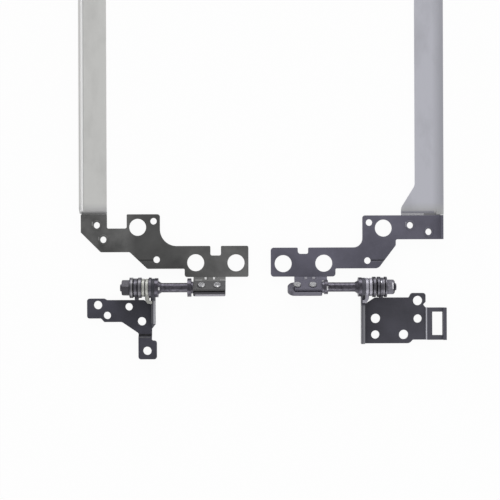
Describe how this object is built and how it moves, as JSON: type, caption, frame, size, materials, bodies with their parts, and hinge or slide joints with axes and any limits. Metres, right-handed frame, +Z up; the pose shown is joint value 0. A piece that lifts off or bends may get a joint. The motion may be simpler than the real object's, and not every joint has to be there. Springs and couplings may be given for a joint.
{
  "type": "laptop hinge pair",
  "caption": "Left and right friction hinges with long display rails, joining a portable computer's screen to its base.",
  "frame": {"origin": "on the table under the middle of the pair's box, both hinges lying open flat", "axes": "+X from the left hinge to the right hinge, +Y from the hinge axis towards the top of the display, +Z up"},
  "size_m": [0.1278, 0.245, 0.0077],
  "materials": {
    "left_display_coating": "satin black coating",
    "right_display_coating": "satin dark grey coating",
    "left_base_coating": "satin black coating",
    "right_base_coating": "satin black coating",
    "rail_steel": "zinc-plated, fine rolling marks",
    "shaft_steel": "turned, dark plated",
    "rivet_steel": "bare steel, peened",
    "black_steel": "black oxide, lightly oiled",
    "nut_steel": "dark plated",
    "friction_bronze": "pale bronze, rubbed",
    "friction_steel": "bare steel, rubbed"
  },
  "bodies": {
    "display_side": {"left_rail": "rail_steel", "left_display_bracket": "left_display_coating", "left_shaft": "shaft_steel", "left_rivets": "rivet_steel", "left_keyed_washer": "black_steel", "left_inner_spring_washer": "black_steel", "left_outer_spring_washer": "black_steel", "left_nut": "black_steel", "left_friction_plate": "friction_bronze", "right_rail": "rail_steel", "right_display_bracket": "right_display_coating", "right_shaft": "shaft_steel", "right_rivets": "rivet_steel", "right_keyed_washer": "black_steel", "right_inner_spring_washer": "black_steel", "right_outer_spring_washer": "black_steel", "right_nut": "nut_steel", "right_friction_plate": "friction_steel"},
    "left_base": {"left_base_bracket": "left_base_coating", "left_hooked_friction_plate": "friction_bronze", "left_tab_washer": "black_steel"},
    "right_base": {"right_base_bracket": "right_base_coating", "right_hooked_friction_plate": "friction_steel", "right_tab_washer": "black_steel"}
  },
  "joints": [
    {"name": "left_fold", "type": "hinge", "parent": "display_side", "child": "left_base", "pos_m": [-0.0381, -0.09748, 0.0042], "axis": [-1, 0, 0], "range_deg": [0, 180]},
    {"name": "right_fold", "type": "hinge", "parent": "display_side", "child": "right_base", "pos_m": [0.0347, -0.09748, 0.0042], "axis": [-1, 0, 0], "range_deg": [0, 180]}
  ]
}
